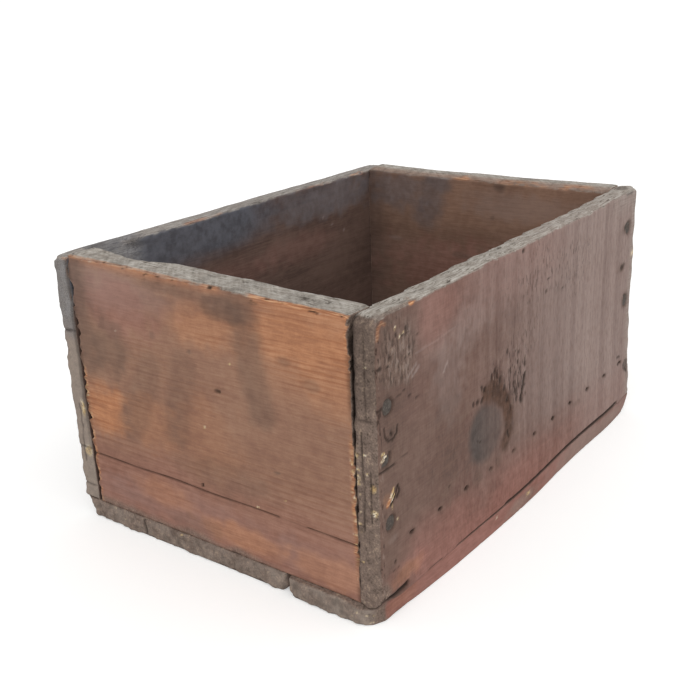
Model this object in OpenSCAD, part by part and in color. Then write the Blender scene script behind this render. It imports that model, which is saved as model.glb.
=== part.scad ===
// Open wooden packing box. Two thick end boards stand between two thinner side boards, wire nails hold
// each corner, and a bottom of two boards is nailed on from below.
// X runs along the box, Y across it from front to rear, and Z up from the floor.

/* [Box] */
// Outside length of the box
box_length = 252; // [200:1:330]
// Outside width of the box
box_width = 178; // [140:1:240]
// Outside height of the box
box_height = 132; // [110:1:180]

/* [Boards] */
// Thickness of the two side boards
side_thickness = 10; // [8:0.5:14]
// Thickness of the two end boards
end_thickness = 15.5; // [12:0.5:20]
// Thickness of the two bottom boards
bottom_thickness = 9.5; // [6:0.5:12]
// Width of the narrow bottom board
narrow_bottom_width = 47; // [36:1:70]
// Shrinkage gap between the two bottom boards
bottom_gap = 0.8; // [0.3:0.1:2]
// How far the narrow bottom board runs past each end of the box
narrow_bottom_overhang = 1.6; // [0:0.1:3]
// Shrinkage gap between an end board and each side board
end_gap = 0.8; // [0.3:0.1:1.5]
// Extra gap at the top of the left end board, which was sawn out of square
left_end_taper = 1.4; // [0:0.1:3]
// How far the top edge of the left end board dips below the side boards at its front corner
left_end_dip = 0.8; // [0:0.1:4]
// How far the top edge of the left end board stands over the side boards at its rear corner
left_end_rise = 1.8; // [0:0.1:4]

/* [Wear] */
// Rounding worn along the edges of the side and end boards
arris_radius = 1.4; // [0.5:0.1:2.5]
// Rounding of the upper corners of the side boards
top_corner_radius = 3; // [1:0.5:6]
// Rounding of the lower left corners of the side boards
left_foot_radius = 6; // [2:0.5:12]
// Rounding of the lower right corners of the side boards, which are worn more
right_foot_radius = 10; // [2:0.5:12]
// Rounding of the outer corners of the bottom, seen from above
bottom_corner_radius = 8; // [3:0.5:14]
// Rounding of the corner of the wide bottom board beside the gap, seen from above
split_corner_radius = 5; // [1:0.5:10]
// Rounding worn along the lower edges of the bottom boards
bottom_arris_radius = 1.6; // [0.5:0.1:2.5]
// Rounding along the upper edges of the bottom boards, where they meet the walls
covered_arris_radius = 0.3; // [0.1:0.1:1]
// Length of the break in the inner top edge of the rear side board, beside the left end board
break_length = 32; // [15:1:60]
// How far the break reaches down the inner face
break_height = 20; // [8:1:30]
// How much of the top edge's thickness the break leaves
break_lip = 1.8; // [1:0.1:4]
// Height of the drying crack in the left end board
crack_height = 36; // [26:0.5:60]
// Width of the drying crack at the surface
crack_width = 0.8; // [0.4:0.1:1.5]
// Depth of the drying crack
crack_depth = 4; // [2:0.5:7]
// Sound wood left between the two stretches of the crack
crack_bridge = 12; // [5:1:30]
// Length of the short stretch of the crack
crack_short = 25; // [10:1:40]

/* [Nails] */
// Diameter of the nail heads
nail_head_diameter = 6.8; // [5:0.1:8]
// Width of the bevel round the nail heads
nail_head_bevel = 0.7; // [0.3:0.1:1]
// Thickness of the nail heads at the rim
nail_head_rim = 0.7; // [0.4:0.1:1.2]
// Depth of the cone under the nail heads
nail_head_cone = 1; // [0.4:0.1:1.6]
// Diameter of the nail shanks
nail_shank_diameter = 2.6; // [2:0.1:3.2]
// Length of the nails through the corners
corner_nail_length = 38; // [30:1:50]
// Length of the nails through the bottom
bottom_nail_length = 25; // [20:1:32]
// Length of the nails' points
nail_point = 5; // [3:0.5:8]
// Diameter of the blunt end of the nails' points
nail_tip_diameter = 0.6; // [0.4:0.1:1.2]
// How far the nail heads are driven below the surface
nail_recess = 0.4; // [0.2:0.1:1]
// Clearance round the nails in their holes
nail_clearance = 0.05; // [0.02:0.01:0.1]

/* [Nail rows] */
// Nails at each corner
corner_nail_count = 5; // [3:1:6]
// How unevenly the corner nails were driven: 0 is an even row, 1 is a careless hand
nail_straying = 1; // [0:0.1:1]
// Height of the lowest left corner nail over the points of the bottom nails
left_nail_rise = 20; // [4:1:24]
// Distance from the top of the box to the highest left corner nail
left_nail_drop = 37; // [12:1:40]
// Height of the lowest right corner nail over the points of the bottom nails
right_nail_rise = 5; // [4:1:24]
// Distance from the top of the box to the highest right corner nail
right_nail_drop = 20; // [12:1:40]
// Nails along each long side of the bottom
long_nail_count = 5; // [3:1:8]
// Distance from the inner face of an end board to the first nail of a long row
long_nail_margin = 18; // [10:1:30]
// Nails at each end of the wide bottom board
wide_nail_count = 3; // [2:1:5]
// Distance from the edges of the wide bottom board to its outer end nails
wide_nail_margin = 24; // [18:1:32]

/* [Tack holes] */
// Diameter of the empty tack holes in the front side board
tack_hole_diameter = 2; // [1:0.1:3]
// Depth of the tack holes
tack_hole_depth = 4; // [2:0.5:6]
// Height of the row of tack holes
tack_row_height = 34.5; // [26:0.5:60]
// Distance from the left end to the first tack hole
tack_row_start = 22; // [20:0.5:30]
// Distance between neighbouring tack holes
tack_row_pitch = 21.6; // [15:0.1:30]

/* [Hidden] */

$fn = 48;
FRONT = -1;
REAR = 1;
LEFT = -1;
RIGHT = 1;
SIDE_WOOD = "#7d5a4c";
END_WOOD = "#93603f";
BOTTOM_WOOD = "#5f5148";
NAIL_IRON = "#4a4340";
overshoot = 1;

// Where each corner nail strays, lowest first: along the box, as a share of the end board's thickness,
// and up, as a share of the distance between nails
LEFT_STRAYS = [[-0.03, 0.03], [0, 0.05], [-0.22, 0.3], [0.06, 0.08], [-0.04, 0.02]];
RIGHT_STRAYS = [[0.15, -0.02], [0.03, -0.1], [-0.03, -0.02], [-0.26, -0.03], [-0.15, 0.03]];

half_length = box_length / 2;
half_width = box_width / 2;
wall_height = box_height - bottom_thickness;
end_board_length = box_width - 2 * side_thickness - 2 * end_gap;
wide_bottom_width = box_width - narrow_bottom_width - bottom_gap;

shank_radius = nail_shank_diameter / 2;
head_radius = nail_head_diameter / 2;
crown_radius = head_radius - nail_head_bevel;
crown_height = nail_head_rim / 3;
tip_radius = nail_tip_diameter / 2;
bottom_nail_tip = nail_recess + bottom_nail_length;
end_middle = half_length - end_thickness / 2;
side_middle = half_width - side_thickness / 2;
tack_row_end = half_length + end_middle - head_radius - tack_hole_diameter;
arris_radii = [for (i = [0 : 3]) arris_radius];

function spread(count, low, high) = [for (i = [0 : count - 1]) low + i * (high - low) / (count - 1)];
function corner_nail_heights(end) = spread(
  corner_nail_count,
  bottom_nail_tip + (end == LEFT ? left_nail_rise : right_nail_rise),
  box_height - (end == LEFT ? left_nail_drop : right_nail_drop)
);
// A corner nail's stray; the rear corners stray the other way from the front ones
function nail_stray(side, end, i) =
  let (strays = end == LEFT ? LEFT_STRAYS : RIGHT_STRAYS)
  -side * nail_straying * strays[i % len(strays)];
function corner_nail_places(side, end) =
  let (heights = corner_nail_heights(end), step = heights[1] - heights[0])
  [for (i = [0 : corner_nail_count - 1])
    let (stray = nail_stray(side, end, i))
    [end * end_middle + stray.x * end_thickness, heights[i] + stray.y * step]];
function long_row_places() = spread(
  long_nail_count,
  -half_length + end_thickness + long_nail_margin,
  half_length - end_thickness - long_nail_margin
);
function wide_row_places() = spread(
  wide_nail_count,
  half_width - wide_bottom_width + wide_nail_margin,
  half_width - wide_nail_margin
);
narrow_nail_place = -half_width + narrow_bottom_width / 2;

// Half the outline of a wire nail, from the crown of its head at the origin down to its point.
// Its hole has the same outline, grown by the clearance.
function nail_outline(length, grow) = [
  [0, grow],
  [crown_radius, grow],
  [head_radius + grow, -crown_height],
  [head_radius + grow, -nail_head_rim - grow],
  [shank_radius + grow, -nail_head_rim - nail_head_cone - grow],
  [shank_radius + grow, nail_point - length],
  [tip_radius + grow, -length - grow],
  [0, -length - grow]
];

// A nail that hangs point down from its crown
module nail(length) {
  rotate_extrude() polygon(nail_outline(length, 0));
}

// The space that a nail takes in the wood, open to the surface above its head
module nail_hole(length) {
  rotate_extrude() polygon(nail_outline(length, nail_clearance));
  cylinder(r = head_radius + nail_clearance, h = nail_recess + overshoot);
}

// Places its children at every corner nail of one corner, with the head sunk in the side board's outer face
module at_corner_nails(side, end) {
  for (place = corner_nail_places(side, end))
    translate([place.x, side * (half_width - nail_recess), place.y])
      rotate([-90 * side, 0, 0])
        children();
}

// Places its children, pointing up, at every bottom nail under one side board
module at_long_row(side) {
  for (x = long_row_places())
    translate([x, side * side_middle, nail_recess]) rotate([180, 0, 0]) children();
}

// Places its children, pointing up, at every nail at one end of the wide bottom board
module at_wide_row(end) {
  for (y = wide_row_places())
    translate([end * end_middle, y, nail_recess]) rotate([180, 0, 0]) children();
}

// Places its children, pointing up, at the nail at one end of the narrow bottom board
module at_narrow_nail(end) {
  translate([end * end_middle, narrow_nail_place, nail_recess]) rotate([180, 0, 0]) children();
}

// A rectangle whose corners are rounded by four radii: low left, low right, high right, high left
module worn_rectangle(size, radii) {
  corners = [[0, 0], [size.x, 0], [size.x, size.y], [0, size.y]];
  difference() {
    square(size);
    for (i = [0 : 3])
      translate(corners[i]) rotate(90 * i) corner_waste(radii[i]);
  }
}

// What wear takes off a square corner at the origin
module corner_waste(radius) {
  difference() {
    translate([-overshoot, -overshoot]) square(radius + overshoot);
    translate([radius, radius]) circle(radius);
  }
}

// A board with its low corner at the origin, rounded along its edges and, in its XZ face, at its four corners
module worn_board(size, edge_radii, face_radii) {
  intersection() {
    translate([0, size.y, 0])
      rotate([90, 0, 0])
        linear_extrude(size.y) worn_rectangle([size.x, size.z], face_radii);
    rotate([90, 0, 90])
      linear_extrude(size.x) worn_rectangle([size.y, size.z], edge_radii);
    linear_extrude(size.z) worn_rectangle([size.x, size.y], edge_radii);
  }
}

// A side board without its holes
module side_blank(side) {
  translate([-half_length, side == FRONT ? -half_width : half_width - side_thickness, bottom_thickness])
    worn_board(
      [box_length, side_thickness, wall_height],
      arris_radii,
      [left_foot_radius, right_foot_radius, top_corner_radius, top_corner_radius]
    );
}

// The row of empty tack holes that a lost strip left in the front side board
module tack_holes() {
  for (x = [tack_row_start : tack_row_pitch : tack_row_end])
    translate([x - half_length, -half_width - overshoot, tack_row_height])
      rotate([-90, 0, 0]) cylinder(d = tack_hole_diameter, h = tack_hole_depth + overshoot);
}

// The splinter that is missing from the inner top edge of the rear side board
module broken_splinter() {
  inner_face = half_width - side_thickness;
  translate([-half_length + end_thickness, 0, 0])
    rotate([90, 0, 90])
      linear_extrude(break_length)
        polygon([
          [inner_face - overshoot, box_height + overshoot],
          [inner_face - overshoot, box_height - break_height],
          [inner_face, box_height - break_height],
          [half_width - break_lip, box_height],
          [half_width - break_lip, box_height + overshoot]
        ]);
}

// The holes that the nails of one side board take in the boards that they join
module side_board_nail_holes(side) {
  for (end = [LEFT, RIGHT]) at_corner_nails(side, end) nail_hole(corner_nail_length);
  at_long_row(side) nail_hole(bottom_nail_length);
}

module front_side_board() {
  color(SIDE_WOOD)
    difference() {
      side_blank(FRONT);
      side_board_nail_holes(FRONT);
      tack_holes();
    }
}

module rear_side_board() {
  color(SIDE_WOOD)
    difference() {
      side_blank(REAR);
      side_board_nail_holes(REAR);
      broken_splinter();
    }
}

// The outline of an end board in the YZ plane; taper takes wood off the top of its front end
module end_outline(taper, dip, rise) {
  polygon([
    [-end_board_length / 2, bottom_thickness],
    [end_board_length / 2, bottom_thickness],
    [end_board_length / 2, box_height + rise],
    [-end_board_length / 2 + taper, box_height - dip]
  ]);
}

// An end board without its holes; its top edge slopes from the rise at the rear to the dip in front
module end_blank(end, taper, dip, rise) {
  low_face = end == LEFT ? -half_length : half_length - end_thickness;
  slope = atan((rise + dip) / end_board_length);
  tall = wall_height + rise + dip + overshoot;
  intersection() {
    translate([low_face, 0, 0])
      rotate([90, 0, 90]) linear_extrude(end_thickness) end_outline(taper, dip, rise);
    translate([low_face, end_board_length / 2, bottom_thickness])
      rotate([90, 0, 0])
        linear_extrude(end_board_length) worn_rectangle([end_thickness, tall + arris_radius], arris_radii);
    translate([low_face, end_board_length / 2, box_height + rise])
      rotate([90 + slope, 0, 0])
        translate([0, -tall])
          linear_extrude(end_board_length + overshoot) worn_rectangle([end_thickness, tall], arris_radii);
  }
}

// The holes that the nails take in one end board
module end_board_nail_holes(end) {
  for (side = [FRONT, REAR]) at_corner_nails(side, end) nail_hole(corner_nail_length);
  at_wide_row(end) nail_hole(bottom_nail_length);
  at_narrow_nail(end) nail_hole(bottom_nail_length);
}

// One stretch of the drying crack, wedge shaped, between two places along the left end board
module crack(from, to) {
  translate([0, to, crack_height])
    rotate([90, 0, 0])
      linear_extrude(to - from)
        polygon([
          [-half_length - overshoot, -crack_width / 2],
          [-half_length, -crack_width / 2],
          [-half_length + crack_depth, 0],
          [-half_length, crack_width / 2],
          [-half_length - overshoot, crack_width / 2]
        ]);
}

module left_end_board() {
  crack_start = -end_board_length / 2 - overshoot;
  crack_break = -end_board_length / 2 + crack_short;
  color(END_WOOD)
    difference() {
      end_blank(LEFT, left_end_taper, left_end_dip, left_end_rise);
      end_board_nail_holes(LEFT);
      crack(crack_start, crack_break);
      crack(crack_break + crack_bridge, end_board_length / 2 + overshoot);
    }
}

module right_end_board() {
  color(END_WOOD)
    difference() {
      end_blank(RIGHT, 0, 0, 0);
      end_board_nail_holes(RIGHT);
    }
}

// A bottom board from a place across the box, rounded at its corners in plan and along its edges
module bottom_blank(overhang, low, width, plan_radii) {
  length = box_length + 2 * overhang;
  edge_radii = [bottom_arris_radius, bottom_arris_radius, covered_arris_radius, covered_arris_radius];
  translate([-half_length - overhang, low, 0])
    intersection() {
      linear_extrude(bottom_thickness) worn_rectangle([length, width], plan_radii);
      rotate([90, 0, 90])
        linear_extrude(length) worn_rectangle([width, bottom_thickness], edge_radii);
      translate([0, width, 0])
        rotate([90, 0, 0])
          linear_extrude(width) worn_rectangle([length, bottom_thickness], edge_radii);
    }
}

module wide_bottom_board() {
  color(BOTTOM_WOOD)
    difference() {
      bottom_blank(
        0,
        half_width - wide_bottom_width,
        wide_bottom_width,
        [split_corner_radius, bottom_arris_radius, bottom_corner_radius, bottom_corner_radius]
      );
      at_long_row(REAR) nail_hole(bottom_nail_length);
      for (end = [LEFT, RIGHT]) at_wide_row(end) nail_hole(bottom_nail_length);
    }
}

module narrow_bottom_board() {
  color(BOTTOM_WOOD)
    difference() {
      bottom_blank(
        narrow_bottom_overhang,
        -half_width,
        narrow_bottom_width,
        [bottom_corner_radius, bottom_corner_radius, bottom_arris_radius, bottom_arris_radius]
      );
      at_long_row(FRONT) nail_hole(bottom_nail_length);
      for (end = [LEFT, RIGHT]) at_narrow_nail(end) nail_hole(bottom_nail_length);
    }
}

module corner_nails(side, end) {
  color(NAIL_IRON) at_corner_nails(side, end) nail(corner_nail_length);
}

module long_row_nails(side) {
  color(NAIL_IRON) at_long_row(side) nail(bottom_nail_length);
}

module end_row_nails(end) {
  color(NAIL_IRON) {
    at_wide_row(end) nail(bottom_nail_length);
    at_narrow_nail(end) nail(bottom_nail_length);
  }
}

front_side_board();
rear_side_board();
left_end_board();
right_end_board();
wide_bottom_board();
narrow_bottom_board();
corner_nails(FRONT, LEFT);  // front_left_corner_nails
corner_nails(FRONT, RIGHT);  // front_right_corner_nails
corner_nails(REAR, LEFT);  // rear_left_corner_nails
corner_nails(REAR, RIGHT);  // rear_right_corner_nails
long_row_nails(FRONT);  // front_bottom_nails
long_row_nails(REAR);  // rear_bottom_nails
end_row_nails(LEFT);  // left_bottom_nails
end_row_nails(RIGHT);  // right_bottom_nails
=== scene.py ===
"""The looks of an open, worn packing box: six weathered boards and rusty nails on a white floor."""

import itertools
import math

import bpy
import numpy as np
from mathutils import Matrix, Vector


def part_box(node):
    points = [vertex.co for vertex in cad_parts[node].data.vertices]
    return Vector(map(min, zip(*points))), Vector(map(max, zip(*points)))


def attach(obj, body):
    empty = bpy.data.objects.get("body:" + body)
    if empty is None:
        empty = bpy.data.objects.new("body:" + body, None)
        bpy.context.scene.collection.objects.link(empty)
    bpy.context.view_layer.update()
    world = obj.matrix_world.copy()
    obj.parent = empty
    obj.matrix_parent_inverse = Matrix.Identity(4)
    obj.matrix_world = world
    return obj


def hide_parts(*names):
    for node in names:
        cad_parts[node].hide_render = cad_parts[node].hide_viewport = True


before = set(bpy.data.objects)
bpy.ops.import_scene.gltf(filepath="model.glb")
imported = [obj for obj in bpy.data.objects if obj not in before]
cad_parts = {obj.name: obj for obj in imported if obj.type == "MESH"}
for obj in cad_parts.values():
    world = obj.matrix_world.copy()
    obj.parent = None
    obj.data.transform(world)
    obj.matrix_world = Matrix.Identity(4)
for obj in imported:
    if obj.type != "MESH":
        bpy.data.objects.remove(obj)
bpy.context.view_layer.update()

# Sizes and places are millimetres: along from the box's left end or front face, and height over the floor
MM = 0.001
X, Y, Z = range(3)
side_low, side_high = (np.array(corner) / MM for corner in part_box("front_side_board"))
LEFT, RIGHT = side_low[X], side_high[X]
FRONT, REAR = side_low[Y], -side_low[Y]
FOOT, TOP = side_low[Z], side_high[Z]
THICKNESS = side_high[Y] - side_low[Y]
END_THICKNESS, END_GAP = 15.5, 0.8
HEAD_RADIUS = 3.4
TACK_START, TACK_PITCH, TACK_COUNT, TACK_HEIGHT = 22.0, 21.6, 11, 34.8
FAINT_TACKS = (3, 4)
CRACK_HEIGHT = 36.0
BREAK_LENGTH, BREAK_HEIGHT, BREAK_LIP = 32.0, 20.0, 1.8
END_DIP = 0.8

# What wear leaves on a board, and the light and shade painted on it, each with a strength from 0 to 1 at
# every point
MARKS = (
    "end_grain", "weather", "raw", "ochre", "smoke", "dirt", "torn", "red",
    "slate", "saw", "knot", "lit", "pale", "bare", "stain",
)

# Dark, middle and light colours of the bare boards
SIDE_TONES, BOTTOM_TONES = ("6e564e", "785e55", "82695f"), ("52453d", "5f5047", "6c5c52")
LEFT_END_TONES, RIGHT_END_TONES = ("896656", "95715e", "a07d68"), ("8d6c59", "987662", "a3806b")

# The fine relief and the shine of every surface, then the floor and the light
RELIEF_STRENGTH, RELIEF_DEPTH, SHEEN = 0.55, 0.4, 0.12
WHITE, FLOOR_WHITE = (1, 1, 1, 1), (0.8, 0.8, 0.79, 1)
FLOOR_GLOW, SKY_LIGHT = 0.36, 0.66

PATCH_SEED, LINE_SEED = 101, 102


# Noise


def cell_values(cells, seed):
    """A fixed number from -1 to 1 for each whole-numbered cell."""
    x, y, z = (cells[:, k].astype(np.uint32) for k in range(3))
    mixed = x * np.uint32(374761393) + y * np.uint32(668265263) + z * np.uint32(2246822519)
    mixed = mixed + np.uint32(seed * 2654435761 % 2**32)
    mixed = (mixed ^ (mixed >> np.uint32(13))) * np.uint32(1274126177)
    mixed = mixed ^ (mixed >> np.uint32(16))
    return mixed.astype(np.float64) / 2**31 - 1


def noise(points, size, seed):
    """Smooth noise from -1 to 1, whose bumps are about size millimetres long on each axis."""
    scaled = points / np.asarray(size, float)
    cells = np.floor(scaled).astype(np.int64)
    t = scaled - cells
    t = t * t * (3 - 2 * t)
    total = np.zeros(len(points))
    for corner in itertools.product((0, 1), repeat=3):
        weight = np.prod(np.where(corner, t, 1 - t), axis=1)
        total += weight * cell_values(cells + corner, seed)
    return total


def layered(points, size, seed, layers=3):
    """Noise with finer and weaker layers on top."""
    parts = [noise(points, np.asarray(size, float) / 2**k, seed + 31 * k) / 2**k for k in range(layers)]
    return sum(parts) / sum(1 / 2**k for k in range(layers))


def smooth(edge_0, edge_1, value):
    """0 at edge_0 and 1 at edge_1, eased; the edges may be in either order."""
    t = np.clip((value - edge_0) / (edge_1 - edge_0), 0, 1)
    return t * t * (3 - 2 * t)


# Boards


def lattice_lines(low, high, step, fine):
    """Places from low to high, about step apart, and closer in the fine stretches (from, to, step)."""
    places = [low]
    slack = 0.1
    while places[-1] < high:
        here = places[-1]
        ahead = here + min([step] + [s for start, end, s in fine if start - slack <= here < end])
        places.append(min([ahead] + [start for start, _, _ in fine if here + slack < start < ahead]))
    places = np.array(places)
    return low + (places - low) * (high - low) / (places[-1] - low)


def lattice_surface(lines):
    """The points and four-sided faces of the surface of a box lattice."""
    counts = [len(line) for line in lines]
    grid = np.indices(counts)
    on_rim = [(grid[k] == 0) | (grid[k] == counts[k] - 1) for k in range(3)]
    shell = on_rim[X] | on_rim[Y] | on_rim[Z]
    number = np.full(counts, -1)
    number[shell] = np.arange(shell.sum())
    points = np.stack([lines[k][grid[k][shell]] for k in range(3)], axis=1)
    faces = []
    for axis in range(3):
        for side in (0, counts[axis] - 1):
            sheet = np.take(number, side, axis=axis)
            quads = np.stack([sheet[:-1, :-1], sheet[1:, :-1], sheet[1:, 1:], sheet[:-1, 1:]], axis=-1)
            quads = quads.reshape(-1, 4)
            outward = (side > 0) == (axis != Y)
            faces.append(quads if outward else quads[:, ::-1])
    return points, np.concatenate(faces)


class Board:
    """A board as a dense shell in millimetres, which wear bends, rounds, cuts and marks, and on which light
    and shade are painted as marks too.
    """

    def __init__(self, node, length_axis, step, fine, swell_low, swell_high):
        """The swells say how far each face stands out past the node's box before wear."""
        self.node = node
        self.length_axis = length_axis
        low, high = (np.array(corner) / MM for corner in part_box(node))
        self.low, self.high = low - swell_low, high + swell_high
        lines = [lattice_lines(self.low[k], self.high[k], step[k], fine[k]) for k in range(3)]
        self.points, self.faces = lattice_surface(lines)
        self.flat = self.points.copy()
        self.x, self.y, self.height = self.flat.T
        self.marks = {name: np.zeros(len(self.points)) for name in MARKS}

    def noise(self, size, seed):
        """Noise over the board as it was before wear."""
        return noise(self.flat, size, seed)

    def layered(self, size, seed, layers=3):
        """Layered noise over the board as it was before wear."""
        return layered(self.flat, size, seed, layers)

    def end_gap(self, axis):
        """How far each point is from the board's nearer end on an axis."""
        return np.minimum(self.flat[:, axis] - self.low[axis], self.high[axis] - self.flat[:, axis])

    def round_edges(self, radius):
        """Rounds every edge by a radius that may differ from point to point."""
        radius = np.broadcast_to(radius, len(self.points))[:, None]
        inner = np.clip(self.points, self.low + radius, self.high - radius)
        offset = self.points - inner
        self.points = inner + offset / np.linalg.norm(offset, axis=1)[:, None] * radius

    def round_corner(self, axes, corner, radius):
        """Rounds one corner of the board's outline in the plane of two axes; corner holds two signs."""
        a, b = axes
        ends = [self.high[k] if sign > 0 else self.low[k] for k, sign in zip(axes, corner)]
        inward = [(self.points[:, k] - end) * -sign for k, end, sign in zip(axes, ends, corner)]
        p, q = (np.clip(1 - depth / radius, 0, 1) for depth in inward)
        self.points[:, a] += corner[0] * radius * p * (np.sqrt(1 - q * q / 2) - 1)
        self.points[:, b] += corner[1] * radius * q * (np.sqrt(1 - p * p / 2) - 1)

    def find_normals(self):
        """The outward direction at every point."""
        corners = self.points[self.faces]
        across = np.cross(corners[:, 2] - corners[:, 0], corners[:, 3] - corners[:, 1])
        normals = np.zeros_like(self.points)
        for k in range(4):
            np.add.at(normals, self.faces[:, k], across)
        self.normals = normals / np.linalg.norm(normals, axis=1)[:, None]
        self.arris = smooth(0.98, 0.8, np.abs(self.normals).max(axis=1))

    def facing(self, axis, sign):
        """1 on the face that looks along an axis, 0 off it."""
        return smooth(0.45, 0.85, self.normals[:, axis] * sign)

    def shift(self, axis, amount):
        """Moves the points along an axis."""
        self.points[:, axis] += amount

    def press(self, depth):
        """Moves the surface in by a depth at each point."""
        self.points -= self.normals * np.asarray(depth)[:, None]

    def mark(self, name, strength):
        """Adds a mark, as a further coat that never passes full strength."""
        self.marks[name] = 1 - (1 - self.marks[name]) * (1 - np.clip(strength, 0, 1))

    def fade(self, name, share):
        """Takes a share off a mark."""
        self.marks[name] *= 1 - share

    def build(self, slot, material):
        """Makes the Blender piece that stands for the board's node."""
        self.points[:, Z] = np.maximum(self.points[:, Z], 0)
        mesh = bpy.data.meshes.new(self.node + "_worn")
        mesh.from_pydata((self.points * MM).tolist(), [], self.faces.tolist())
        mesh.shade_smooth()
        mesh.validate()
        for name, values in self.marks.items():
            mesh.attributes.new(name, "FLOAT", "POINT").data.foreach_set("value", values.astype(np.float32))
        mesh.materials.append(material)
        piece = bpy.data.objects.new(self.node + "_worn", mesh)
        bpy.context.scene.collection.objects.link(piece)
        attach(piece, "root")
        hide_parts(self.node)


class Face:
    """One upright face of a board, to draw on with patches and lines."""

    def __init__(self, board, axis, sign):
        self.board = board
        self.on = board.facing(axis, sign)
        self.along = board.y - FRONT if axis == X else board.x - LEFT
        self.height = board.height

    def ragged(self, reach, amount, seed, size=5.0):
        """A soft-edged mask from a reach that is 1 at the rim, with a rim as uneven as noise of a size."""
        uneven = amount * self.board.layered(size, seed)
        return self.on * smooth(1.3, 0.5, reach + uneven)

    def patch(self, along, height, half_length, half_height, amount=0.5, size=5.0):
        """A round patch."""
        reach = np.hypot((self.along - along) / half_length, (self.height - height) / half_height)
        return self.ragged(reach, amount, PATCH_SEED, size)

    def line(self, path, half_width, amount=0.3):
        """A band along a path of (along, height) points."""
        here = np.stack([self.along, self.height], axis=1)
        nearest = np.full(len(here), np.inf)
        for start, end in zip(path, path[1:]):
            start, span = np.array(start, float), np.subtract(end, start).astype(float)
            share = np.clip((here - start) @ span / (span @ span), 0, 1)
            nearest = np.minimum(nearest, np.linalg.norm(here - start - share[:, None] * span, axis=1))
        return self.ragged(nearest / half_width, amount, LINE_SEED)

    def mark(self, name, strength):
        """Adds a mark on this face alone."""
        self.board.mark(name, self.on * strength)

    def press(self, depth):
        """Moves the surface in on this face alone."""
        self.board.press(self.on * depth)

    def wash(self, name, strength, along=None, height=None):
        """Adds a mark that grows to its full strength over a stretch along the face, up it or both."""
        for stretch, value in ((along, self.along), (height, self.height)):
            if stretch:
                strength = strength * smooth(*stretch, value)
        self.mark(name, strength)

    def mark_patches(self, **patches):
        """Colours with each mark's patches of (strength, along, height, half length, half height)."""
        for name, rows in patches.items():
            for strength, *shape in rows:
                self.board.mark(name, strength * self.patch(*shape))

    def mark_lines(self, **lines):
        """Colours and cuts along each mark's lines of (strength, half width, depth, points of a path)."""
        for name, rows in lines.items():
            for strength, half_width, depth, *path in rows:
                band = self.line(path, half_width)
                self.board.mark(name, strength * band)
                self.board.press(depth * band)

    def chips(self, depth, *shapes):
        """Small chips of (along, height, half length, half height), pressed in and darkened with painted
        shade.
        """
        for shape in shapes:
            chip = self.patch(*shape, amount=0.6, size=1.6)
            self.board.press(depth * chip)
            self.board.mark("dirt", 0.8 * chip)

    def holes(self, radius, depth, *places):
        """Small round holes at (along, height) places, dark inside with painted shade."""
        for along, height in places:
            gap = np.hypot(self.along - along, self.height - height)
            self.press(smooth(1.35 * radius, 0.6 * radius, gap) * depth)
            self.mark("dirt", smooth(1.45 * radius, 0.8 * radius, gap))

    def specks(self, name, radius, *places):
        """Single specks of a mark at (along, height) places."""
        for along, height in places:
            gap = np.hypot(self.along - along, self.height - height)
            self.mark(name, smooth(1.5 * radius, 0.6 * radius, gap))


def nail_heads(node, axis, sign):
    """The middles of a node's nail heads, lowest first, on nails driven in from one side of an axis."""
    points = np.array([vertex.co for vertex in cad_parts[node].data.vertices]) / MM
    outward = points[:, axis] * sign
    crowns = points[outward > outward.max() - 0.05]
    heads = []
    while len(crowns):
        near = np.linalg.norm(crowns - crowns[0], axis=1) < 2.2 * HEAD_RADIUS
        heads.append(crowns[near].mean(axis=0))
        crowns = crowns[~near]
    return sorted(heads, key=lambda head: tuple(head[::-1]))


# Materials


def rgb(code):
    """A colour from its hexadecimal code, as the linear values that shaders take."""
    parts = [int(code[k : k + 2], 16) / 255 for k in (0, 2, 4)]
    return tuple(c / 12.92 if c <= 0.04045 else ((c + 0.055) / 1.055) ** 2.4 for c in parts) + (1.0,)


class Nodes:
    """The node tree of a material or a world, with short names for the nodes it uses."""

    def __init__(self, owner):
        owner.use_nodes = True
        self.owner = owner
        self.tree = owner.node_tree
        self.tree.nodes.clear()

    def node(self, kind, inputs=None, **settings):
        """A new node with its settings, whose inputs are links or constants."""
        made = self.tree.nodes.new(kind)
        for name, value in settings.items():
            setattr(made, name, value)
        for name, value in (inputs or {}).items():
            if isinstance(value, bpy.types.NodeSocket):
                self.tree.links.new(value, made.inputs[name])
            else:
                made.inputs[name].default_value = value
        return made

    def math(self, operation, a, b=0.0):
        return self.node("ShaderNodeMath", {0: a, 1: b}, operation=operation).outputs[0]

    def seen_directly(self, unseen, seen):
        """A strength of one number for light on the object, and another for camera, mirrors and glass."""
        path = self.node("ShaderNodeLightPath")
        total = path.outputs["Is Camera Ray"]
        for name in ("Is Glossy Ray", "Is Transmission Ray"):
            total = self.math("MAXIMUM", total, path.outputs[name])
        return self.node("ShaderNodeMapRange", {"Value": total, "To Min": unseen, "To Max": seen}).outputs[0]


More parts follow.
